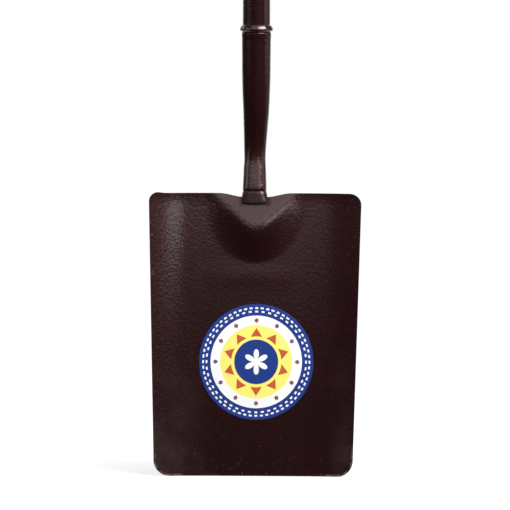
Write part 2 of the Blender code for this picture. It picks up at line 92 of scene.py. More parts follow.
BOSS_HALF_WIDTH = 0.063
BOSS_LENGTH = 0.080
BOSS_PEAK = 0.0215
BOSS_FOOT_FILLET = 0.06
BOSS_SIDE_FILLET = 0.80
BOSS_CREST = 0.0100
BOSS_CREST_DROP = 0.041
BOSS_ROOT = 0.0010
BOSS_BLEND = 4.4

SPINE_LENGTH = 0.110
SPINE_DEPTH = 0.0215
SPINE_TOE_HALF_WIDTH = 0.010
SPINE_ROOT_HALF_WIDTH = 0.0270
SPINE_RISE = 1.5
SPINE_SHOULDER_ROUND = 0.014

NECK_AXIS_BEHIND_FACE = 0.0098
NECK_BEND_START = 0.017
NECK_BEND_LENGTH = 0.040
NECK_LENGTH = 0.1852
NECK_TOP_RADIUS = 0.0167
NECK_RIM_RADIUS = 0.0172
NECK_RIM_HEIGHT = 0.0035
NECK_RIM_CHAMFER = 0.0012
NECK_WAIST_RADIUS = 0.0124
NECK_COLLAR_RADIUS = 0.0138
NECK_GROOVE_RADIUS = 0.0136
NECK_FLANGE_HALF_WIDTH = 0.0155
NECK_FLANGE_FRONT = 0.0156
NECK_FLANGE_SQUARENESS = 5.5
NECK_FLAT_SHARE = 0.5
NECK_LEAN = 0.0012
NECK_LEAN_START = 0.040
NECK_LEAN_END = 0.100
EDGE_ROUND = 0.0007

TUBE_RADIUS = 0.015875
TUBE_WALL = 0.0016
OVERALL_LENGTH = 1.030
RING_WELD_RADIUS = 0.0193
RING_WELD_HEIGHT = 0.0074
RING_WELD_RIPPLE = 0.00016
RING_WELD_SUNK = 0.0004
RING_WELD_MARGIN = 0.0001

YOKE_WALL = 0.0020
YOKE_SOCKET_RADIUS = 0.0190
YOKE_SOCKET_DEPTH = 0.055
YOKE_CROTCH_ABOVE_SOCKET = 0.022
HAND_WIDTH = 0.112
HAND_DEPTH = 0.086
ARM_HALF_WIDTH = 0.0105
ARM_HALF_DEPTH = 0.0125
EYE_HALF_WIDTH = 0.0080
EYE_RADIUS = 0.0205
GRIP_RADIUS = 0.0143
GRIP_WALL = 0.0016
GRIP_WELD_LEG = 0.0028
GRIP_WELD_RIPPLE = 0.00025
GRIP_WELD_SUNK = 0.0002
SEAM_GAP = 0.0003
SEAM_BEAD_SPACING = 0.0008
SEAM_BEAD_HALF_WIDTH = 0.0018
SEAM_BEAD_RISE = 0.00078
SEAM_BEAD_SUNK = 0.0006
SEAM_BEAD_SCALLOP = 0.0024
SEAM_BEAD_SCALLOP_DEPTH = 0.00013
SEAM_BEAD_RISE_WANDER = 0.00012
SEAM_BEAD_WIDTH_WANDER = 0.0002

LABEL_RADIUS = 0.0655
LABEL_HEIGHT = 0.1288
LABEL_OFFSET = 0.0025
LABEL_FRONT_LIFT = 0.00042
LABEL_BACK_LIFT = 0.00008
LABEL_EDGE_ROUND = 0.0001


def mix(start, end, share):
    return start + (end - start) * share


def smoothstep(start, end, value):
    share = min(1.0, max(0.0, (value - start) / (end - start)))
    return share * share * (3.0 - 2.0 * share)


def soft_min(first, second):
    if first <= 0.0 or second <= 0.0:
        return 0.0
    return (first**-BOSS_BLEND + second**-BOSS_BLEND) ** (-1.0 / BOSS_BLEND)


# Mesh helpers

def placed(name, data):
    """A new object of the scene that shows the data."""
    made = bpy.data.objects.new(name, data)
    bpy.context.scene.collection.objects.link(made)
    return made


def new_piece(name, mesh_data, material, replaced):
    """A shown piece that rides on the only body and stands for the CAD nodes named."""
    piece = placed(name, mesh_data)
    mesh_data.materials.append(material)
    smooth(mesh_data)
    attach(piece, "root")
    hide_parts(*replaced)
    return piece


def smooth(mesh_data, degrees=35.0):
    mesh_data.shade_smooth()
    mesh_data.set_sharp_from_angle(angle=math.radians(degrees))


def mesh_from(name, shape):
    bmesh.ops.recalc_face_normals(shape, faces=shape.faces)
    mesh_data = bpy.data.meshes.new(name)
    shape.to_mesh(mesh_data)
    shape.free()
    return mesh_data


def boolean(operation, tool):
    """The modifier step that joins a tool mesh, cuts it away or keeps what both share."""
    return {"kind": "BOOLEAN", "operation": operation, "solver": "EXACT", "object": tool}


def baked(name, mesh_data, steps):
    """Apply modifier steps to a mesh and give back the result as a plain mesh."""
    helper = placed(name, mesh_data)
    tools = []
    for step in steps:
        kind = step.pop("kind")
        modifier = helper.modifiers.new(kind, kind)
        if "object" in step:
            step["object"] = placed(f"{name}_tool", step["object"])
            tools.append(step["object"])
        for key, value in step.items():
            setattr(modifier, key, value)
    evaluated = helper.evaluated_get(bpy.context.evaluated_depsgraph_get())
    result = bpy.data.meshes.new_from_object(evaluated)
    for item in [helper, *tools]:
        bpy.data.objects.remove(item)
    result.name = name
    return result


def loft(shape, rings, cap_ends=True):
    """Skin rings of the same number of points, one after the other."""
    rows = [[shape.verts.new(point) for point in ring] for ring in rings]
    for lower, upper in itertools.pairwise(rows):
        count = len(lower)
        for index in range(count):
            after = (index + 1) % count
            shape.faces.new((lower[index], lower[after], upper[after], upper[index]))
    if cap_ends:
        shape.faces.new(list(reversed(rows[0])))
        shape.faces.new(rows[-1])
    return rows


def turned(name, profile, segments, axis_y=0.0, ripple=None):
    """Revolve a closed profile of (radius, height) points about an upright axis."""
    shape = bmesh.new()
    rings = []
    for index in range(segments):
        angle = 2.0 * math.pi * index / segments
        ring = []
        for step, (r, z) in enumerate(profile):
            if ripple:
                r, z = ripple(step, angle, r, z)
            ring.append((r * math.cos(angle), axis_y + r * math.sin(angle), z))
        rings.append(ring)
    loft(shape, rings + rings[:1], cap_ends=False)
    bmesh.ops.remove_doubles(shape, verts=shape.verts, dist=0.00001)
    return mesh_from(name, shape)


def box_mesh(name, low, high):
    shape = bmesh.new()
    bmesh.ops.create_cube(shape, size=1.0)
    bmesh.ops.scale(shape, vec=[b - a for a, b in zip(low, high)], verts=shape.verts)
    bmesh.ops.translate(shape, vec=[(a + b) / 2.0 for a, b in zip(low, high)], verts=shape.verts)
    return mesh_from(name, shape)


# Pan and neck, by the CAD source's formulas in closer rows, with a dented corner, a swell and a curl

def half_width(z):
    return mix(MOUTH_WIDTH, SHOULDER_WIDTH, z / PAN_LENGTH) / 2.0


def pan_plane(z):
    return z * math.tan(PAN_TILT) - PLATE / math.cos(PAN_TILT) / 2.0


def shoulder_z(x):
    """Height of the top edge, with its dip at the neck and a small lip at the dented left corner."""
    lip = LIP_RISE * math.exp(-(((x + LIP_PLACE) / LIP_REACH) ** 2))
    return PAN_LENGTH + lip - SHOULDER_DIP * (1.0 - smoothstep(DIP_INNER, DIP_OUTER, abs(x)))


def dish(x, z):
    share = max(0.0, (abs(x) / half_width(z) - DISH_FLAT_SHARE) / (1.0 - DISH_FLAT_SHARE))
    return mix(MOUTH_DISH, SHOULDER_DISH, z / PAN_LENGTH) * share**DISH_POWER


def boss(x, z):
    """How far the tongue stands forward of the pan: a round flank cut by a ramp that falls to the neck."""
    across = x / BOSS_HALF_WIDTH
    down = (PAN_LENGTH - z) / BOSS_LENGTH
    reach = math.hypot(across, down)
    if reach >= 1.0:
        return 0.0
    inside = 1.0 - reach
    sideways = abs(across) / max(reach, 0.001)
    fillet = mix(BOSS_FOOT_FILLET, BOSS_SIDE_FILLET, sideways * sideways)
    flank = BOSS_PEAK * inside * inside / (inside + fillet)
    ramp = mix(BOSS_ROOT, BOSS_CREST, (PAN_LENGTH - z) / BOSS_CREST_DROP)
    return soft_min(flank, ramp)


def spine(x, z):
    """The ridge down the back, from the neck to its toe."""
    toe = PAN_LENGTH - SPINE_LENGTH
    if z <= toe:
        return 0.0
    share = (z - toe) / SPINE_LENGTH
    across = x / mix(SPINE_TOE_HALF_WIDTH, SPINE_ROOT_HALF_WIDTH, share)
    if abs(across) >= 1.0:
        return 0.0
    depth = SPINE_DEPTH * share**SPINE_RISE * (1.0 - across * across) ** 1.5
    short = 1.0 - min(1.0, max(0.0, (shoulder_z(x) - z) / SPINE_SHOULDER_ROUND))
    beside_neck = smoothstep(NECK_COLLAR_RADIUS * 0.6, NECK_COLLAR_RADIUS * 1.1, abs(x))
    return depth * mix(1.0, math.sqrt(1.0 - short * short), beside_neck)


def curl(x, z):
    """The top edge of the plate leans a little towards the load on both sides of the boss."""
    share = max(0.0, 1.0 - (shoulder_z(x) - z) / CURL_HEIGHT)
    return CURL_REACH * share * share * smoothstep(CURL_INNER, CURL_OUTER, abs(x))


def swell(x, z):
    """The face rises a little just below the foot of the boss."""
    across = min(1.0, abs(x) / SWELL_HALF_WIDTH)
    away = (z - SWELL_HEIGHT) / SWELL_REACH
    return SWELL * (1.0 - across * across) ** 2 * math.exp(-away * away)


def face_y(x, z):
    return pan_plane(z) - dish(x, z) - boss(x, z) - curl(x, z) - swell(x, z)


def back_y(x, z):
    return pan_plane(z) - dish(x, z) - curl(x, z) + PLATE / math.cos(PAN_TILT) + spine(x, z)


def corner_inset(from_side, radius):
    reach = max(0.0, radius - from_side)
    return radius - math.sqrt(radius * radius - reach * reach)


BOSS_COLUMNS = 40
SIDE_COLUMNS = 22
LOWER_ROWS = 44
UPPER_ROWS = 50
CORNER_STEPS = 12


def pan_columns():
    """Places across as shares of the half width, close over the boss and at the round corners."""
    corner = MOUTH_CORNER / (MOUTH_WIDTH / 2.0)
    boss_edge = BOSS_HALF_WIDTH / (SHOULDER_WIDTH / 2.0)
    half = [boss_edge * i / BOSS_COLUMNS for i in range(BOSS_COLUMNS)]
    half += [mix(boss_edge, 1.0 - corner, i / SIDE_COLUMNS) for i in range(SIDE_COLUMNS)]
    for i in range(CORNER_STEPS + 1):
        half.append(1.0 - corner * (1.0 - math.sin(math.pi / 2.0 * i / CORNER_STEPS)))
    return [-share for share in reversed(half[1:])] + half


def pan_rows():
    """Places up the pan as shares of its height, close over the boss and below the shoulder."""
    boss_foot = 1.0 - BOSS_LENGTH * 1.1 / PAN_LENGTH
    round_foot = 1.0 - SPINE_SHOULDER_ROUND / PAN_LENGTH
    rows = [boss_foot * i / LOWER_ROWS for i in range(LOWER_ROWS)]
    rows += [mix(boss_foot, round_foot, i / UPPER_ROWS) for i in range(UPPER_ROWS)]
    for i in range(CORNER_STEPS + 1):
        rows.append(mix(round_foot, 1.0, math.sin(math.pi / 2.0 * i / CORNER_STEPS)))
    return rows


def pan_mesh():
    """The plate with its tongue and spine: a front and a back skin, joined along the outline."""
    shape = bmesh.new()
    rows = pan_rows()
    fronts, backs = [], []
    for share in pan_columns():
        from_side = (1.0 - abs(share)) * MOUTH_WIDTH / 2.0
        low = corner_inset(from_side, MOUTH_CORNER)
        corner = SHOULDER_CORNER if share > 0.0 else DENTED_CORNER
        high = shoulder_z(share * SHOULDER_WIDTH / 2.0) - corner_inset(from_side, corner)
        places = []
        for row in rows:
            z = mix(low, high, row)
            places.append((share * half_width(min(z, WIDEST_Z)), z))
        fronts.append([shape.verts.new((x, face_y(x, z), z)) for x, z in places])
        backs.append([shape.verts.new((x, back_y(x, z), z)) for x, z in places])
    for skin in (fronts, backs):
        for left, right in itertools.pairwise(skin):
            for i in range(len(rows) - 1):
                shape.faces.new((left[i], right[i], right[i + 1], left[i + 1]))
    for end in (0, -1):
        for i in range(len(fronts) - 1):
            shape.faces.new((fronts[i][end], fronts[i + 1][end], backs[i + 1][end], backs[i][end]))
        for i in range(len(rows) - 1):
            shape.faces.new((fronts[end][i], fronts[end][i + 1], backs[end][i + 1], backs[end][i]))
    return mesh_from("pan", shape)


def neck_axis_y(z):
    """The neck's axis follows the pan's lean and then bends upright."""
    bend_start = PAN_LENGTH + NECK_BEND_START
    share = min(1.0, max(0.0, (z - bend_start) / NECK_BEND_LENGTH))
    bent = NECK_BEND_LENGTH * (share - share**3 / 3.0)
    return pan_plane(min(z, bend_start) + bent) + NECK_AXIS_BEHIND_FACE


SEAT_Z = PAN_LENGTH + NECK_LENGTH
SHAFT_Y = neck_axis_y(SEAT_Z)


def neck_stations():
    """Height above the shoulder, half width, depth in front and behind, and share of the squareness."""
    wide, front, behind = NECK_FLANGE_HALF_WIDTH, NECK_FLANGE_FRONT, NECK_COLLAR_RADIUS
    flange = [
        (-0.0175, wide * 0.60, front * 0.300, behind * 0.45, 0.0),
        (-0.0150, wide * 0.92, front * 0.700, behind * 0.66, 0.2),
        (-0.0130, wide * 1.06, front * 0.900, behind * 0.80, 0.6),
        (-0.0112, wide * 1.07, front * 0.955, behind * 0.88, 0.9),
        (-0.0080, wide * 1.01, front * 0.940, behind * 0.94, 1.0),
        (-0.0040, wide * 0.94, front * 0.915, behind * 0.98, 0.8),
        (0.0000, wide * 0.90, front * 0.895, behind * 0.98, 0.7),
    ]
    round_part = collar_stations() + waist_stations() + rim_stations()
    return flange + [(above, r, r + bulge, r, square) for above, r, square, bulge in round_part]


def collar_stations():
    """Height above the shoulder, radius, squareness and bulge of the front, from the groove upwards."""
    groove, collar, waist = NECK_GROOVE_RADIUS, NECK_COLLAR_RADIUS, NECK_WAIST_RADIUS
    return [
        (0.0018, groove, 0.6, 0.0002),
        (0.0036, mix(groove, collar, 0.85), 0.6, 0.0003),
        (0.0060, collar, 0.6, 0.0005),
        (0.0140, mix(waist, collar, 0.80), NECK_FLAT_SHARE, 0.0004),
        (0.0270, mix(waist, collar, 0.45), NECK_FLAT_SHARE, 0.0001),
    ]


def waist_stations():
    """The same four numbers from the waist to the round top, where the squareness ends."""
    low, high = NECK_LENGTH * 0.21, NECK_LENGTH * 0.82
    squareness = [0.35, 0.1] + [0.0] * 7
    stations = []
    for i, square in enumerate(squareness):
        share = i / (len(squareness) - 1)
        radius = mix(NECK_WAIST_RADIUS, NECK_TOP_RADIUS, math.sin(share * math.pi / 2.0) ** 1.3)
        stations.append((mix(low, high, share), radius, square, 0.0))
    return stations


def rim_stations():
    """The same four numbers over the rim and its chamfer."""
    top, rim, chamfer = NECK_TOP_RADIUS, NECK_RIM_RADIUS, NECK_RIM_CHAMFER
    below_end = [
        (3.0, mix(top, rim, 0.35)),
        (1.6, mix(top, rim, 0.80)),
        (0.62, rim),
        (0.46, rim - chamfer * 0.06),
        (0.38, rim - chamfer * 0.20),
        (0.06, rim - chamfer * 0.96),
        (0.0, rim - chamfer * 1.10),
    ]
    return [(NECK_LENGTH - NECK_RIM_HEIGHT * below, radius, 0.0, 0.0) for below, radius in below_end]


def spline(rows, steps):
    """Catmull-Rom values between rows of numbers."""
    result = []
    for i in range(len(rows) - 1):
        a, b, c, d = rows[max(0, i - 1)], rows[i], rows[i + 1], rows[min(len(rows) - 1, i + 2)]
        for step in range(steps):
            t = step / steps
            row = []
            for p, q, r, s in zip(a, b, c, d):
                bend = 2.0 * p - 5.0 * q + 4.0 * r - s
                twist = 3.0 * (q - r) + s - p
                row.append(q + 0.5 * t * (r - p + t * (bend + t * twist)))
            result.append(row)
    return result + [list(rows[-1])]


def neck_mesh(segments=88):
    """The neck in rings that are round behind and as square in front as their station says."""
    rings = []
    for above, wide, front, behind, square in spline(neck_stations(), 4):
        z = PAN_LENGTH + above
        power = mix(1.0, 2.0 / NECK_FLANGE_SQUARENESS, max(0.0, square))
        lean = NECK_LEAN * (1.0 - smoothstep(NECK_LEAN_START, NECK_LEAN_END, above))
        ring = []
        for i in range(segments):
            angle = 2.0 * math.pi * i / segments
            across, deep = math.cos(angle), math.sin(angle)
            if deep < 0.0:
                x = wide * math.copysign(abs(across) ** power, across)
                y = -front * abs(deep) ** power
            else:
                x = mix(wide, min(wide, behind), deep) * across
                y = behind * deep
            ring.append((x - lean, neck_axis_y(z) + y, z))
        rings.append(ring)
    shape = bmesh.new()
    loft(shape, rings)
    return mesh_from("neck", shape)


def make_head(paint):
    """The forging: the plate with softened edges, joined with the neck."""
    rounded = {"kind": "BEVEL", "width": EDGE_ROUND, "segments": 3, "limit_method": "ANGLE",
               "angle_limit": math.radians(50.0)}
    joined = boolean("UNION", neck_mesh())
    new_piece("head", baked("head", pan_mesh(), [rounded, joined]), paint, ["forged_head"])


# Shaft and ring welds

YOKE_TOP = OVERALL_LENGTH
GRIP_Z = YOKE_TOP - EYE_RADIUS
CROTCH_Z = GRIP_Z - GRIP_RADIUS - HAND_DEPTH
SOCKET_END_Z = CROTCH_Z - YOKE_CROTCH_ABOVE_SOCKET
YOKE_BOTTOM = SOCKET_END_Z - YOKE_SOCKET_DEPTH


SHAFT_END_RINGS = (0.002, 0.006)
SCALLOPS_ROUND = 21.0
SCALLOP_SHARE = 0.45
WANDER_RISE = 0.8


def make_shaft(paint):
    """The tube, with rings close to both ends so that its long sides shade evenly."""
    low, high = SEAT_Z + CLEARANCE, SOCKET_END_Z
    bore = TUBE_RADIUS - TUBE_WALL
    near_low = [low + inside for inside in SHAFT_END_RINGS]
    near_high = [high - inside for inside in reversed(SHAFT_END_RINGS)]
    outside = [low, *near_low, mix(low, high, 0.5), *near_high, high]
    profile = [(bore, low)] + [(TUBE_RADIUS, z) for z in outside] + [(bore, high)]
    new_piece("shaft", turned("shaft", profile, 128, SHAFT_Y), paint, ["shaft_tube"])


def weld_ripple(seed, amount):
    """Shallow overlapping scallops of a hand-laid bead, with a slow wander of its height."""
    def ripple(step, angle, radius, height):
        if step < 2:
            return radius, height
        drift = 0.6 * math.sin(angle * 3.0 + seed)
        scallop = abs(math.sin(angle * SCALLOPS_ROUND + drift))
        wander = noise.noise(Vector((math.cos(angle) * 2.0, math.sin(angle) * 2.0, seed)))
        radius = radius - amount * SCALLOP_SHARE * scallop + amount * wander
        return radius, height + amount * WANDER_RISE * wander
    return ripple


RING_WELD_OUTLINE = (
    (0.0, 0.20),
    (0.03, 0.52),
    (0.14, 0.86),
    (0.30, 1.0),
    (0.50, 0.91),
    (0.70, 0.70),
    (0.86, 0.47),
    (0.95, 0.24),
    (1.0, 0.04),
)


def ring_weld(name, low, seed, paint):
    """A bead round the tube; its outline gives shares of its height and of its reach from the tube."""
    inner = TUBE_RADIUS + CLEARANCE * 0.2
    full_reach = RING_WELD_RADIUS - RING_WELD_MARGIN - inner
    profile = [(inner - RING_WELD_SUNK, low + RING_WELD_HEIGHT), (inner - RING_WELD_SUNK, low)]
    for share, reach in spline(RING_WELD_OUTLINE, 3):
        height = low - CLEARANCE + (RING_WELD_HEIGHT + CLEARANCE) * share
        profile.append((inner + full_reach * reach, height))
    mesh_data = turned(name, profile, 252, SHAFT_Y, weld_ripple(seed, RING_WELD_RIPPLE))
    new_piece(f"{name}_bead", mesh_data, paint, [name])


# Handle

GRIP_END_RINGS = (0.004, 0.010)

# Share of its radius that a ring of so many points keeps when it is subdivided
RING_OF_8 = (2.0 + math.cos(math.radians(45.0))) / 3.0
RING_OF_6 = (2.0 + math.cos(math.radians(60.0))) / 3.0


def arm_stations():
    """Middle, height, lean, half width and half depth of the right arm, from the crotch over the eye."""
    eye_x = HAND_WIDTH / 2.0 + EYE_HALF_WIDTH
    wide, deep = ARM_HALF_WIDTH, ARM_HALF_DEPTH
    return [
        (0.027, CROTCH_Z - 0.001, math.radians(55.0), wide + 0.0010, deep + 0.0015),
        (eye_x - 0.016, CROTCH_Z + 0.018, math.radians(39.0), wide, deep),
        (eye_x - 0.003, CROTCH_Z + 0.048, math.radians(12.0), wide - 0.0010, deep + 0.0010),
        (eye_x, GRIP_Z - EYE_RADIUS, 0.0, EYE_HALF_WIDTH, EYE_RADIUS - 0.0015),
        (eye_x, GRIP_Z, 0.0, EYE_HALF_WIDTH, EYE_RADIUS),
        (eye_x, GRIP_Z + EYE_RADIUS * 0.72, 0.0, EYE_HALF_WIDTH, EYE_RADIUS * 0.80),
        (eye_x, YOKE_TOP, 0.0, EYE_HALF_WIDTH * 0.75, EYE_RADIUS * 0.45),
    ]


def arm_ring(station, side, grow):
    """Six points round the arm at a station."""
    x, z, lean, wide, deep = station
    if z >= YOKE_TOP:
        z += grow
    wide = (wide + grow) / RING_OF_6
    deep = (deep + grow) / RING_OF_6
    ring = []
    for step in range(6):
        angle = math.radians(60.0 * step)
        out = wide * math.cos(angle)
        across = side * (x + out * math.cos(lean))
        ring.append((across, SHAFT_Y + deep * math.sin(angle), z - out * math.sin(lean)))
    return ring


def stem_ring(z, wide, deep, grow):
    """Eight points round the stem at a height."""
    wide = (wide + grow) / RING_OF_8
    deep = (deep + grow) / RING_OF_8
    angles = [math.radians(45.0 * step) for step in range(8)]
    return [(wide * math.cos(angle), SHAFT_Y + deep * math.sin(angle), z) for angle in angles]


def yoke_cage(name, grow):
    """The Y as a coarse cage, from the socket over the fork to both arms, made wider by grow all round."""
    shape = bmesh.new()
    stem = [
        stem_ring(YOKE_BOTTOM - 0.020, YOKE_SOCKET_RADIUS, YOKE_SOCKET_RADIUS, grow),
        stem_ring(YOKE_BOTTOM + 0.010, YOKE_SOCKET_RADIUS, YOKE_SOCKET_RADIUS, grow),
        stem_ring(YOKE_BOTTOM + 0.040, YOKE_SOCKET_RADIUS, YOKE_SOCKET_RADIUS, grow),
        stem_ring(CROTCH_Z - 0.029, YOKE_SOCKET_RADIUS + 0.003, YOKE_SOCKET_RADIUS - 0.001, grow),
        stem_ring(CROTCH_Z - 0.017, YOKE_SOCKET_RADIUS + 0.010, YOKE_SOCKET_RADIUS - 0.003, grow),
    ]
    rows = loft(shape, stem, cap_ends=False)
    shape.faces.new(list(reversed(rows[0])))
    fork = rows[-1]
    saddle = shape.verts.new((0.0, SHAFT_Y, CROTCH_Z + 0.003 + grow))
    for side, shared in ((1, (0, 1, 2, 6, 7)), (-1, (4, 3, 2, 6, 5))):
        rings = [arm_ring(station, side, grow) for station in arm_stations()]
        arm = loft(shape, rings, cap_ends=False)
        tip = arm[-1]
        shape.faces.new((tip[0], tip[1], tip[2], tip[3]))
        shape.faces.new((tip[3], tip[4], tip[5], tip[0]))
        outer, back_out, back_mid, front_mid, front_out = (fork[i] for i in shared)
        first = arm[0]
        shape.faces.new((outer, back_out, first[1], first[0]))
        shape.faces.new((back_out, back_mid, first[2], first[1]))
        shape.faces.new((back_mid, saddle, first[3], first[2]))
        shape.faces.new((saddle, front_mid, first[4], first[3]))
        shape.faces.new((front_mid, front_out, first[5], first[4]))
        shape.faces.new((front_out, outer, first[0], first[5]))
    return mesh_from(name, shape)


def rounded_cage(name, grow, levels):
    """The Y's smooth form, subdivided from its cage."""
    rounding = {"kind": "SUBSURF", "levels": levels, "render_levels": levels}
    return baked(name, yoke_cage(name, grow), [rounding])


def make_yoke(paint):
    """The two pressed halves: the Y is hollowed, bored for the shaft and kept on one side of its seam."""
    reach = 0.2
    radius = TUBE_RADIUS + CLEARANCE
    bore_low, bore_high = YOKE_BOTTOM - 0.03, SOCKET_END_Z + CLEARANCE
    bore_profile = [(0.0, bore_low), (radius, bore_low), (radius, bore_high), (0.0, bore_high)]
    for name, side in {"yoke_front": -1.0, "yoke_back": 1.0}.items():
        near = SHAFT_Y + side * SEAM_GAP / 2.0
        far = SHAFT_Y + side * reach
        low = (-reach, min(near, far), YOKE_BOTTOM)
        high = (reach, max(near, far), YOKE_TOP + reach)
        cuts = [
            boolean("DIFFERENCE", rounded_cage("hollow", -YOKE_WALL, 2)),
            boolean("DIFFERENCE", turned("bore", bore_profile, 72, SHAFT_Y)),
            boolean("INTERSECT", box_mesh("half", low, high)),
        ]
        new_piece(name, baked(name, rounded_cage(name, 0.0, 4), cuts), paint, [f"{name}_shell"])


def seam_line():
    """The right half of the Y's outline in its seam plane, from the crotch over the eye to the socket."""
    form = rounded_cage("seam", 0.0, 4)
    on_seam = {v.index: (v.co.x, v.co.z) for v in form.vertices if abs(v.co.y - SHAFT_Y) < 0.00001}
    neighbours = {index: [] for index in on_seam}
    for edge in form.edges:
        a, b = edge.vertices
        if a in on_seam and b in on_seam:
            neighbours[a].append(b)
            neighbours[b].append(a)
    middle = [index for index, (x, _) in on_seam.items() if abs(x) < 0.00001]
    here = max(middle, key=lambda index: on_seam[index][1])
    step = max(neighbours[here], key=lambda index: on_seam[index][0])
    line = [on_seam[here]]
    while on_seam[step][1] > YOKE_BOTTOM:
        line.append(on_seam[step])
        following = [index for index in neighbours[step] if index != here]
        here, step = step, following[0]
    line.append((line[-1][0], YOKE_BOTTOM))
    return line


def even_line(line, spacing):
    """The same line with points at an even spacing."""
    result, left = [line[0]], spacing
    for (ax, az), (bx, bz) in itertools.pairwise(line):
        length = math.hypot(bx - ax, bz - az)
        at = left
        while at < length:
            result.append((mix(ax, bx, at / length), mix(az, bz, at / length)))
            at += spacing
        left = at - length
    return result + [line[-1]]


def seam_bead(name, line, seed, paint, replaced):
    """A low bead that is sunk in the groove between the two pressed halves, with scallops along it."""
    line = even_line(line, SEAM_BEAD_SPACING)
    rings = []
    for i, (x, z) in enumerate(line):
        before, after = line[max(0, i - 2)], line[min(len(line) - 1, i + 2)]
        run_x, run_z = after[0] - before[0], after[1] - before[1]
        length = math.hypot(run_x, run_z)
        out_x, out_z = -run_z / length, run_x / length
        end = min(i, len(line) - 1 - i)
        taper = math.sqrt(min(1.0, (end + 0.6) / 4.0))
        wander = noise.noise(Vector((i * 0.07, seed, 0.0)))
        scallop = abs(math.sin(i * SEAM_BEAD_SPACING * math.pi / SEAM_BEAD_SCALLOP))
        high = (SEAM_BEAD_RISE + SEAM_BEAD_RISE_WANDER * wander - SEAM_BEAD_SCALLOP_DEPTH * scallop) * taper
        half = (SEAM_BEAD_HALF_WIDTH + SEAM_BEAD_WIDTH_WANDER * wander) * taper
        ring = []
        for j in range(12):
            angle = 2.0 * math.pi * j / 12
            lift = math.sin(angle) * (high if math.sin(angle) > 0.0 else SEAM_BEAD_SUNK)
            ring.append((x + out_x * lift, SHAFT_Y + half * math.cos(angle), z + out_z * lift))
        rings.append(ring)
    shape = bmesh.new()
    loft(shape, rings)
    new_piece(name, mesh_from(name, shape), paint, replaced)


def make_seam_beads(paint):
    line = seam_line()
    around_grip = GRIP_RADIUS + GRIP_WELD_LEG + CLEARANCE
    top = max(range(len(line)), key=lambda i: line[i][1])
    below_grip = [point for point in line[:top] if point[1] < GRIP_Z - around_grip]
    above_grip = [point for point in line[:top] if point[1] > GRIP_Z + around_grip]
    outer = above_grip + line[top:]
    crotch = [(-x, z) for x, z in reversed(below_grip[1:])] + below_grip
    seam_bead("seam_bead_crotch", crotch, 1.0, paint, ["yoke_crotch_weld"])
    seam_bead("seam_bead_right", outer, 2.0, paint, ["yoke_seam_weld_right"])
    seam_bead("seam_bead_left", [(-x, z) for x, z in reversed(outer)], 3.0, paint, ["yoke_seam_weld_left"])


def lie_across(mesh_data):
    """Turn an upright form into the grip's place."""
    turn = Matrix.Rotation(math.radians(90.0), 4, "Y")
    mesh_data.transform(Matrix.Translation((0.0, SHAFT_Y, GRIP_Z)) @ turn)
    return mesh_data


def make_grip(paint):
    """The tube for the hand, cut off by the form of the eyes, with rings close to both of them."""
    eye_x = HAND_WIDTH / 2.0 + EYE_HALF_WIDTH
    bore = GRIP_RADIUS - GRIP_WALL
    right = [HAND_WIDTH / 2.0 - inside for inside in reversed(GRIP_END_RINGS)]
    left = [-x for x in reversed(right)]
    outside = [-eye_x, *left, 0.0, *right, eye_x]
    profile = [(bore, -eye_x)] + [(GRIP_RADIUS, x) for x in outside] + [(bore, eye_x)]
    ends = boolean("DIFFERENCE", rounded_cage("ends", CLEARANCE, 3))
    grip = baked("grip", lie_across(turned("grip", profile, 112)), [ends])
    new_piece("grip", grip, paint, ["grip_tube"])


def make_grip_welds(paint):
    """The two hollow fillets that hold the grip between the eyes."""
    seat = GRIP_RADIUS - GRIP_WELD_SUNK
    leg = GRIP_WELD_LEG + GRIP_WELD_SUNK
    for name, side in {"grip_weld_left": -1.0, "grip_weld_right": 1.0}.items():
        near = side * (HAND_WIDTH / 2.0 - GRIP_WELD_LEG)
        far = side * (HAND_WIDTH / 2.0 + EYE_HALF_WIDTH / 2.0)
        profile = [(seat, far), (seat, near)]
        for i in range(13):
            angle = math.radians(90.0) * i / 12
            reach = GRIP_WELD_LEG * (1.0 - math.cos(angle))
            profile.append((seat + leg * math.sin(angle), near + side * reach))
        profile.append((seat + leg, far))
        ripple = weld_ripple(side * 3.0, GRIP_WELD_RIPPLE)
        bead = lie_across(turned(name, profile, 216, 0.0, ripple))
        eyes = boolean("DIFFERENCE", rounded_cage("ends", 0.0, 3))
        new_piece(f"{name}_bead", baked(name, bead, [eyes]), paint, [name])


# Sticker

def make_label(paper, segments=160, count=26):
    """A thin disc on the pan's face, drawn in rings from its middle to its softened edge."""
    shape = bmesh.new()
    profile = [(radius / count, LABEL_FRONT_LIFT) for radius in range(1, count)]
    profile += [
        (1.0 - LABEL_EDGE_ROUND / LABEL_RADIUS, LABEL_FRONT_LIFT),
        (1.0, LABEL_FRONT_LIFT - LABEL_EDGE_ROUND),
        (1.0, LABEL_BACK_LIFT),
    ]
    rings = []
    for share, lift in profile:
        row = []
        for i in range(segments):
            angle = 2.0 * math.pi * i / segments
            x = LABEL_OFFSET + LABEL_RADIUS * share * math.cos(angle)
            z = LABEL_HEIGHT + LABEL_RADIUS * share * math.sin(angle)
            row.append((x, face_y(x, z) - lift, z))
        rings.append(row)
    rows = loft(shape, rings, cap_ends=False)
    for row, lift in ((rows[0], LABEL_FRONT_LIFT), (rows[-1], LABEL_BACK_LIFT)):
        centre = shape.verts.new((LABEL_OFFSET, face_y(LABEL_OFFSET, LABEL_HEIGHT) - lift, LABEL_HEIGHT))
        for i in range(segments):
            shape.faces.new((centre, row[i], row[(i + 1) % segments]))
    piece = new_piece("sticker", mesh_from("sticker", shape), paper, ["label"])


# Node materials

def fill(tree, made, values):
    """Link or set the inputs named."""
    for key, value in values.items():
        socket = made.inputs[key]
        if isinstance(value, bpy.types.NodeSocket):
            tree.links.new(value, socket)
        else:
            socket.default_value = value


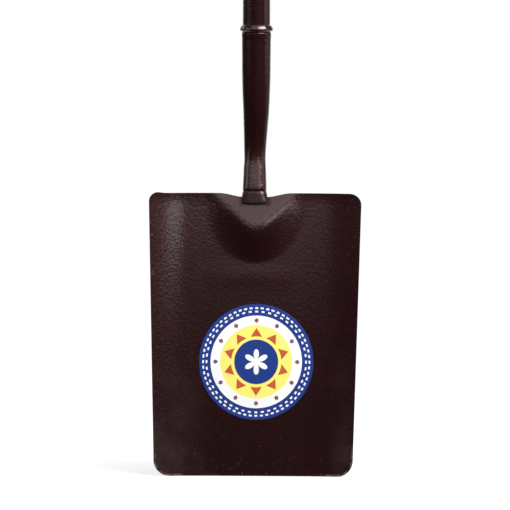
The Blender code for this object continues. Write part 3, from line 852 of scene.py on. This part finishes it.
def node(tree, kind, values=None, **settings):
    made = tree.nodes.new(kind)
    for key, value in settings.items():
        setattr(made, key, value)
    fill(tree, made, values or {})
    return made


def calc(tree, operation, *values, clamp=False):
    made = node(tree, "ShaderNodeMath", dict(enumerate(values)), operation=operation)
    made.use_clamp = clamp
    return made.outputs[0]


def product(tree, first, *others):
    for other in others:
        first = calc(tree, "MULTIPLY", first, other)
    return first


def sum_of_squares(tree, first, second):
    return calc(tree, "ADD", product(tree, first, first), product(tree, second, second))


def ramp(tree, value, low, high, out_low=0.0, out_high=1.0):
    values = {"Value": value, "From Min": low, "From Max": high, "To Min": out_low, "To Max": out_high}
    return node(tree, "ShaderNodeMapRange", values).outputs[0]


def grain(tree, place, scale, detail, roughness=0.5):
    values = {"Vector": place, "Scale": scale, "Detail": detail, "Roughness": roughness}
    return node(tree, "ShaderNodeTexNoise", values).outputs[0]


def blend(tree, share, first, second):
    return node(tree, "ShaderNodeMix", {0: share, 6: first, 7: second}, data_type="RGBA").outputs[2]


def blank_material(name):
    material = bpy.data.materials.new(name)
    material.use_nodes = True
    tree = material.node_tree
    return material, tree, tree.nodes["Principled BSDF"]


# Paint

PAINT_DARK = (0.0182, 0.0026, 0.0033, 1.0)
PAINT_LIGHT = (0.0360, 0.0054, 0.0070, 1.0)
WEAR = (0.105, 0.066, 0.068, 1.0)
DUST = (0.30, 0.20, 0.21, 1.0)
VEIL = (0.080, 0.046, 0.046, 1.0)
# Painted shade for the foot of the neck, where it meets the plate
FOOT_SHADE = (0.0090, 0.0030, 0.0034, 1.0)

PAINT_ROUGHNESS = 0.29
FLAKE_ROUGHNESS = 0.07
FOOT_ROUGHNESS = 0.26
COAT = 0.9
FOOT_COAT_LOSS = 0.82
FOOT_BUMP = 1.2
BOSS_COARSENESS = 1.3
SHAFT_COARSENESS = 0.7

# Zones in metres: a mask is 0 at the first place and 1 at the second
SCUFF_SIDE = (SHOULDER_WIDTH * 0.40, SHOULDER_WIDTH * 0.49)
SCUFF_LOW = (0.055, 0.0)
VEIL_LEFT = (-0.040, -0.090)
VEIL_RIGHT = (0.084, 0.106)
VEIL_LOW = (0.150, 0.030)
CORNER_RIM = (MOUTH_CORNER - 0.0030, MOUTH_CORNER - 0.0018)
CORNER_LOW = (0.040, 0.012)
CORNER_SIDE = (0.070, 0.095)
FOOT_TOP = (PAN_LENGTH + 0.004, PAN_LENGTH - 0.002)
FOOT_LOW = (PAN_LENGTH - 0.0160, PAN_LENGTH - 0.0125)
FOOT_SIDE = (0.0200, 0.0160)
FOOT_FRONT = (neck_axis_y(PAN_LENGTH) + 0.002, neck_axis_y(PAN_LENGTH) - 0.004)
COARSE_BOSS_LOW = (PAN_LENGTH - 0.070, PAN_LENGTH - 0.045)
COARSE_BOSS_RIGHT = (0.020, -0.010)
COARSE_BOSS_LEFT = (-0.080, -0.060)
COARSE_NECK = (PAN_LENGTH + 0.035, PAN_LENGTH + 0.060)


def dust_specks(tree, place):
    """Rare pale specks, in the middle of about one cell in ten."""
    cells = node(tree, "ShaderNodeTexVoronoi", {"Vector": place, "Scale": 34.0})
    lot = node(tree, "ShaderNodeSeparateColor", {0: cells.outputs["Color"]}).outputs[0]
    near = calc(tree, "LESS_THAN", cells.outputs["Distance"], 0.028)
    return product(tree, calc(tree, "GREATER_THAN", lot, 0.90), near)


def veil_mask(tree, axes, cloud):
    """Paler, cloudy patches on both sides above the mouth, stronger towards the mouth."""
    sides = calc(tree, "MAXIMUM", ramp(tree, axes[0], *VEIL_LEFT), ramp(tree, axes[0], *VEIL_RIGHT))
    cloudy = ramp(tree, cloud, 0.38, 0.62, 0.25, 1.0)
    return product(tree, sides, ramp(tree, axes[2], *VEIL_LOW), cloudy)


def scuff_mask(tree, axes, scratch):
    """Small scuffs near the sides and the mouth of the pan."""
    side = ramp(tree, calc(tree, "ABSOLUTE", axes[0]), *SCUFF_SIDE)
    near_rim = calc(tree, "MAXIMUM", side, ramp(tree, axes[2], *SCUFF_LOW))
    on_pan = calc(tree, "LESS_THAN", axes[2], PAN_LENGTH)
    return product(tree, near_rim, on_pan, ramp(tree, scratch, 0.63, 0.70))


def bare_corner_mask(tree, axes, scratch):
    """The worn rim of the two lower corners, by the distance from the centre of their round."""
    slant = (SHOULDER_WIDTH - MOUTH_WIDTH) / 2.0 / PAN_LENGTH
    width = calc(tree, "SUBTRACT", calc(tree, "ABSOLUTE", axes[0]), product(tree, axes[2], slant))
    outward = calc(tree, "SUBTRACT", width, MOUTH_WIDTH / 2.0 - MOUTH_CORNER)
    downward = calc(tree, "SUBTRACT", MOUTH_CORNER, axes[2])
    beyond, under = (calc(tree, "MAXIMUM", value, 0.0) for value in (outward, downward))
    rim = ramp(tree, calc(tree, "SQRT", sum_of_squares(tree, beyond, under)), *CORNER_RIM)
    corner = product(tree, ramp(tree, axes[2], *CORNER_LOW), ramp(tree, width, *CORNER_SIDE))
    return product(tree, corner, rim, ramp(tree, scratch, 0.42, 0.60))


def foot_mask(tree, axes):
    """The foot of the neck, on the front only: dark with painted shade, and rough."""
    upright = product(tree, ramp(tree, axes[2], *FOOT_TOP), ramp(tree, axes[2], *FOOT_LOW))
    side = ramp(tree, calc(tree, "ABSOLUTE", axes[0]), *FOOT_SIDE)
    return product(tree, upright, side, ramp(tree, axes[1], *FOOT_FRONT))


def coarseness(tree, axes):
    """How much deeper the paint's texture is left of the boss, and up the neck, shaft and handle."""
    across = product(tree, ramp(tree, axes[0], *COARSE_BOSS_RIGHT), ramp(tree, axes[0], *COARSE_BOSS_LEFT))
    near_boss = product(tree, ramp(tree, axes[2], *COARSE_BOSS_LOW), across)
    near_neck = ramp(tree, axes[2], *COARSE_NECK, 0.0, SHAFT_COARSENESS)
    return calc(tree, "MAXIMUM", product(tree, near_boss, BOSS_COARSENESS), near_neck)


def paint_bump(tree, axes, peel, fine, foot):
    height = calc(tree, "ADD", product(tree, peel, 0.7), product(tree, fine, 0.3))
    height = product(tree, height, calc(tree, "ADD", 1.0, coarseness(tree, axes)))
    height = calc(tree, "ADD", height, product(tree, foot, peel, FOOT_BUMP))
    return node(tree, "ShaderNodeBump", {"Strength": 0.32, "Distance": 0.0005, "Height": height}).outputs[0]


def make_paint():
    """Maroon powder coat with fine metal flake: mottled, with orange peel, dust, paler cloudy patches above
    the mouth, scuffs, worn edges and painted shade at the foot of the neck.
    """
    material, tree, shader = blank_material("maroon_paint_look")
    place = node(tree, "ShaderNodeTexCoord").outputs["Object"]
    axes = node(tree, "ShaderNodeSeparateXYZ", {0: place}).outputs
    fine = grain(tree, place, 620.0, 2.0, 0.6)
    peel = grain(tree, place, 300.0, 1.0)
    cloud = grain(tree, place, 22.0, 3.0)
    scratch = grain(tree, place, 210.0, 3.0, 0.7)
    flake = ramp(tree, fine, 0.36, 0.66)
    mottle = ramp(tree, cloud, 0.35, 0.65, 0.0, 0.25)
    tone = calc(tree, "ADD", product(tree, flake, 0.75), mottle, clamp=True)
    edge = ramp(tree, node(tree, "ShaderNodeNewGeometry").outputs["Pointiness"], 0.53, 0.62)
    worn = product(tree, edge, ramp(tree, peel, 0.35, 0.60))
    foot = foot_mask(tree, axes)
    colour = blend(tree, tone, PAINT_DARK, PAINT_LIGHT)
    for mask, strength, paint in (
        (dust_specks(tree, place), 1.0, DUST),
        (veil_mask(tree, axes, cloud), 0.6, VEIL),
        (scuff_mask(tree, axes, scratch), 0.35, DUST),
        (worn, 0.6, WEAR),
        (bare_corner_mask(tree, axes, scratch), 0.9, DUST),
        # painted shade at the foot of the neck
        (foot, 0.75, FOOT_SHADE),
    ):
        colour = blend(tree, product(tree, mask, strength), colour, paint)
    flecked = product(tree, calc(tree, "ADD", flake, worn), FLAKE_ROUGHNESS)
    rough = calc(tree, "ADD", PAINT_ROUGHNESS, flecked)
    rough = calc(tree, "ADD", rough, product(tree, foot, FOOT_ROUGHNESS))
    bump = paint_bump(tree, axes, peel, fine, foot)
    fill(tree, shader, {
        "Base Color": colour,
        "Metallic": 0.60,
        "Roughness": rough,
        "Specular IOR Level": 0.35,
        "Normal": bump,
        "Coat Weight": calc(tree, "SUBTRACT", COAT, product(tree, foot, FOOT_COAT_LOSS)),
        "Coat Roughness": 0.15,
        "Coat Normal": bump,
    })
    return material


# Sticker's print

LABEL_BLUE = (0.001, 0.028, 0.215, 1.0)
LABEL_WHITE = (0.86, 0.87, 0.85, 1.0)
LABEL_YELLOW = (0.92, 0.80, 0.17, 1.0)
LABEL_RED = (0.52, 0.09, 0.02, 1.0)


def make_paper():
    """A generic printed sticker: rings of bars, dots and darts round a rosette, in shares of its radius."""
    material, tree, shader = blank_material("sticker_print")
    place = node(tree, "ShaderNodeTexCoord").outputs["Object"]
    axes = node(tree, "ShaderNodeSeparateXYZ", {0: place}).outputs
    across = calc(tree, "DIVIDE", calc(tree, "SUBTRACT", axes[0], LABEL_OFFSET), LABEL_RADIUS)
    upward = calc(tree, "DIVIDE", calc(tree, "SUBTRACT", axes[2], LABEL_HEIGHT), LABEL_RADIUS)
    radius = calc(tree, "SQRT", sum_of_squares(tree, across, upward))
    angle = calc(tree, "ARCTAN2", across, upward)

    def band(low, high):
        above, below = calc(tree, "GREATER_THAN", radius, low), calc(tree, "LESS_THAN", radius, high)
        return product(tree, above, below)

    def sector(count):
        """Angle from the middle of the nearest of so many equal sectors."""
        step = 2.0 * math.pi / count
        wrapped = calc(tree, "FLOORED_MODULO", calc(tree, "ADD", angle, step / 2.0), step)
        return calc(tree, "SUBTRACT", wrapped, step / 2.0)

    def dots(count, at, size):
        side = product(tree, sector(count), at)
        away = sum_of_squares(tree, side, calc(tree, "SUBTRACT", radius, at))
        return calc(tree, "LESS_THAN", away, size * size)

    def bars(count, low, high, half):
        side = calc(tree, "ABSOLUTE", product(tree, sector(count), radius))
        return product(tree, calc(tree, "LESS_THAN", side, half), band(low, high))

    def darts(count, low, high, spread):
        side = calc(tree, "ABSOLUTE", product(tree, sector(count), radius))
        limit = product(tree, calc(tree, "SUBTRACT", high, radius), spread)
        return product(tree, calc(tree, "LESS_THAN", side, limit), band(low, high))

    def rosette(core, petals):
        swing = calc(tree, "ABSOLUTE", calc(tree, "COSINE", product(tree, angle, 3.0)))
        return calc(tree, "LESS_THAN", radius, calc(tree, "ADD", core, product(tree, swing, petals)))

    colour = LABEL_WHITE
    for share, paint in (
        (band(0.800, 2.0), LABEL_BLUE),
        (bars(60, 0.915, 0.945, 0.026), LABEL_WHITE),
        (bars(48, 0.855, 0.885, 0.026), LABEL_WHITE),
        (dots(12, 0.715, 0.034), LABEL_BLUE),
        (bars(12, 0.672, 0.758, 0.010), LABEL_RED),
        (band(-1.0, 0.630), LABEL_YELLOW),
        (darts(10, 0.440, 0.585, 0.70), LABEL_RED),
        (band(-1.0, 0.385), LABEL_BLUE),
        (rosette(0.05, 0.17), LABEL_WHITE),
    ):
        colour = blend(tree, share, colour, paint)
    fine = grain(tree, place, 420.0, 2.0)
    wave = grain(tree, place, 24.0, 1.0)
    height = calc(tree, "ADD", product(tree, wave, 3.0), product(tree, fine, 0.08))
    bump = node(tree, "ShaderNodeBump", {"Strength": 0.25, "Distance": 0.0004, "Height": height}).outputs[0]
    rough = ramp(tree, fine, 0.3, 0.7, 0.36, 0.44)
    fill(tree, shader, {"Base Color": colour, "Roughness": rough, "Normal": bump})
    return material


# Studio

PHOTO_SIDE = 510
PIXEL = 0.001143
CAMERA_DISTANCE = 6.0
CAMERA_AZIMUTH = 1.6
CAMERA_ELEVATION = 3.5
CAMERA_ROLL = math.radians(0.18)
AIM = Vector((0.0008, 0.02, 0.2516))
LAMP_DISTANCE = 1.5
LAMP_AIM = Vector((0.0, 0.04, 0.3))

SEEN = ("Is Camera Ray", "Is Glossy Ray", "Is Transmission Ray")
AMBIENT = 0.08
FLOOR_REACH = 30.0
FLOOR_ALBEDO = 0.20
# The floor glows less near the shovel and fully beyond the fade: painted shade round the shovel's foot
FLOOR_SHADED_GLOW = 0.77
FLOOR_FADE_START = 0.08
FLOOR_FADE_END = 0.34
# A dark room seen only in the paint's gloss: painted dark reflections
ROOM_RADIUS = 9.0
ROOM_HEIGHT = 9.0
ROOM_HALF_ANGLE = 142.0
ROOM_STEPS = 36
ROOM_LOW_Z = 0.002
ROOM_LOW_EDGE = (1.2, -0.03)
ROOM_HIGH_EDGE = (8.0, 1.0)
ROOM_LEVEL = 0.025


def spot(azimuth, elevation, distance, aim):
    """A place seen from the aim, by azimuth (0 in front, 90 to the right) and elevation in degrees."""
    a, e = math.radians(azimuth), math.radians(elevation)
    return aim + distance * Vector((math.sin(a) * math.cos(e), -math.cos(a) * math.cos(e), math.sin(e)))


def softbox(name, azimuth, elevation, width, height, level):
    """An area lamp aimed at the shovel, whose energy grows with its face so that its level stays."""
    light = bpy.data.lights.new(name, "AREA")
    light.shape = "RECTANGLE"
    light.size = width
    light.size_y = height
    light.energy = level * math.pi * width * height
    lamp = placed(name, light)
    lamp.location = spot(azimuth, elevation, LAMP_DISTANCE, LAMP_AIM)
    lamp.rotation_euler = (LAMP_AIM - lamp.location).to_track_quat("-Z", "Y").to_euler()
    lamp.visible_camera = False


def make_camera():
    camera = placed("camera", bpy.data.cameras.new("camera"))
    place = spot(CAMERA_AZIMUTH, CAMERA_ELEVATION, CAMERA_DISTANCE, AIM)
    look = (AIM - place).to_track_quat("-Z", "Y").to_matrix().to_4x4()
    camera.matrix_world = Matrix.Translation(place) @ look @ Matrix.Rotation(CAMERA_ROLL, 4, "Z")
    camera.data.sensor_width = 36.0
    camera.data.lens = camera.data.sensor_width * CAMERA_DISTANCE / (PHOTO_SIDE * PIXEL)
    bpy.context.scene.camera = camera


def seen_share(tree):
    """1 for rays that show a surface, 0 for rays that only light the object."""
    path = node(tree, "ShaderNodeLightPath")
    share = 0.0
    for ray in SEEN:
        share = calc(tree, "MAXIMUM", share, path.outputs[ray])
    return share


def make_world():
    world = bpy.data.worlds.new("studio")
    bpy.context.scene.world = world
    world.use_nodes = True
    tree = world.node_tree
    strength = ramp(tree, seen_share(tree), 0.0, 1.0, AMBIENT, 1.0)
    tree.nodes["Background"].inputs[0].default_value = (1.0, 1.0, 1.0, 1.0)
    tree.links.new(strength, tree.nodes["Background"].inputs[1])


def staged(name, shape, material):
    stage = placed(name, mesh_from(name, shape))
    stage.data.materials.append(material)
    return stage


def make_floor():
    shape = bmesh.new()
    bmesh.ops.create_grid(shape, x_segments=1, y_segments=1, size=FLOOR_REACH)
    material, tree, shader = blank_material("floor")
    tree.nodes.remove(shader)
    matte = node(tree, "ShaderNodeBsdfDiffuse", {"Color": (FLOOR_ALBEDO, FLOOR_ALBEDO, FLOOR_ALBEDO, 1.0)})
    place = node(tree, "ShaderNodeNewGeometry").outputs["Position"]
    away = node(tree, "ShaderNodeVectorMath", {0: place}, operation="LENGTH").outputs["Value"]
    # dimmer glow near the shovel: painted shade on the floor round its foot
    level = ramp(tree, away, FLOOR_FADE_START, FLOOR_FADE_END, FLOOR_SHADED_GLOW, 1.0)
    glow = node(tree, "ShaderNodeEmission", {"Strength": calc(tree, "MULTIPLY", seen_share(tree), level)})
    both = node(tree, "ShaderNodeAddShader", {0: matte.outputs[0], 1: glow.outputs[0]})
    tree.links.new(both.outputs[0], tree.nodes["Material Output"].inputs[0])
    staged("floor", shape, material)


def make_painted_dark_reflection():
    """The dark room around the front of the set, which only the gloss of the paint shows: a painted dark
    reflection, whose low part lies just above the floor.
    """
    shape = bmesh.new()
    low, high = [], []
    for i in range(ROOM_STEPS + 1):
        angle = math.radians(mix(-ROOM_HALF_ANGLE, ROOM_HALF_ANGLE, i / ROOM_STEPS))
        x, y = ROOM_RADIUS * math.sin(angle), -ROOM_RADIUS * math.cos(angle)
        low.append(shape.verts.new((x, y, ROOM_LOW_Z)))
        high.append(shape.verts.new((x, y, ROOM_HEIGHT)))
    for wall, (width, y) in ((low, ROOM_LOW_EDGE), (high, ROOM_HIGH_EDGE)):
        near = []
        for i in range(ROOM_STEPS + 1):
            x = mix(-0.5, 0.5, i / ROOM_STEPS) * width
            near.append(shape.verts.new((x, y, wall[i].co.z)))
        for i in range(ROOM_STEPS):
            shape.faces.new((near[i], near[i + 1], wall[i + 1], wall[i]))
    for i in range(ROOM_STEPS):
        shape.faces.new((low[i], low[i + 1], high[i + 1], high[i]))
    material, tree, shader = blank_material("painted_dark_reflection")
    tree.nodes.remove(shader)
    dark = node(tree, "ShaderNodeEmission", {"Strength": ROOM_LEVEL})
    tree.links.new(dark.outputs[0], tree.nodes["Material Output"].inputs[0])
    room = staged("painted_dark_reflection", shape, material)
    room.visible_camera = False
    room.visible_diffuse = False
    room.visible_shadow = False
    room.visible_transmission = False


def make_lights():
    """Azimuth, elevation, width, height and level of each lamp."""
    softbox("key", 51, 46, 1.00, 0.76, 17.5)
    softbox("top", 0, 76, 1.00, 1.00, 1.0)
    softbox("front_high", -12, 42, 1.16, 0.66, 1.2)
    softbox("front_right", 21, 21.5, 0.27, 0.22, 3.3)
    softbox("front_low", -2, 28, 1.00, 0.36, 0.65)
    softbox("front_left", -6, 20, 0.60, 0.20, 0.30)
    softbox("left", -66, 26, 1.00, 0.80, 1.3)
    softbox("right", 88, 20, 0.70, 0.80, 0.9)
    softbox("back_left", -118, 24, 0.60, 0.60, 1.6)
    softbox("back_right", 112, 4, 0.60, 1.20, 0.3)


def main():
    paint = make_paint()
    make_head(paint)
    make_shaft(paint)
    ring_weld("socket_weld", SEAT_Z + CLEARANCE, 4.0, paint)
    ring_weld("yoke_weld", YOKE_BOTTOM - CLEARANCE - RING_WELD_HEIGHT, 7.0, paint)
    make_yoke(paint)
    make_seam_beads(paint)
    make_grip(paint)
    make_grip_welds(paint)
    make_label(make_paper())
    make_camera()
    make_world()
    make_floor()
    # painted dark reflections round the front of the set
    make_painted_dark_reflection()
    make_lights()
    bpy.context.scene.view_settings.view_transform = "Standard"


main()
